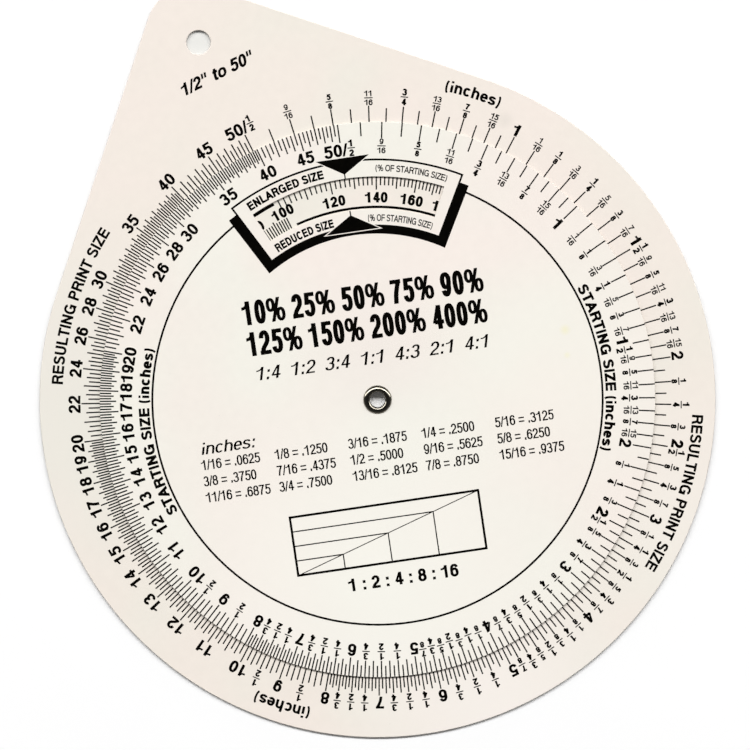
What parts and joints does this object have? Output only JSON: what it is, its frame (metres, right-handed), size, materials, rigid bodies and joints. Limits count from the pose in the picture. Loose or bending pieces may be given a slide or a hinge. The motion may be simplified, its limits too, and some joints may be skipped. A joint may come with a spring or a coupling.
{
  "type": "proportional scale wheel",
  "caption": "Proportional scale wheel: a windowed dial with a log inch scale turns on an eyelet over a teardrop card and shows the enlargement or reduction percentage.",
  "frame": {"origin": "on the eyelet's axis, at the back card's rear face", "axes": "+Z out of the printed face along the pivot, +Y from the pivot towards the hanging tab"},
  "size_m": [0.1778, 0.2094, 0.0024],
  "materials": {
    "card_plastic": "warm off-white rigid sheet, lightly mottled, satin",
    "dial_plastic": "warm off-white rigid sheet, lightly mottled, satin",
    "eyelet_nickel": "polished nickel plate with a rolled rim",
    "washer_nickel": "plain nickel-plated steel",
    "black_ink": "screen-printed black ink, a film on the sheet"
  },
  "bodies": {
    "card": {"back_card": "card_plastic", "center_eyelet": "eyelet_nickel", "eyelet_washer": "washer_nickel", "outer_scale_ticks": "black_ink", "enlargement_ticks": "black_ink", "reduction_ticks": "black_ink", "percent_ring_lines": "black_ink"},
    "dial": {"front_dial": "dial_plastic", "inner_scale_ticks": "black_ink", "dial_ring_line": "black_ink", "window_pointers": "black_ink", "window_frame_line": "black_ink", "window_frame_shadow": "black_ink"}
  },
  "joints": [
    {"name": "dial_turn", "type": "hinge", "parent": "card", "child": "dial", "pos_m": [0, 0, 0], "axis": [0, 0, 1], "continuous": true}
  ]
}
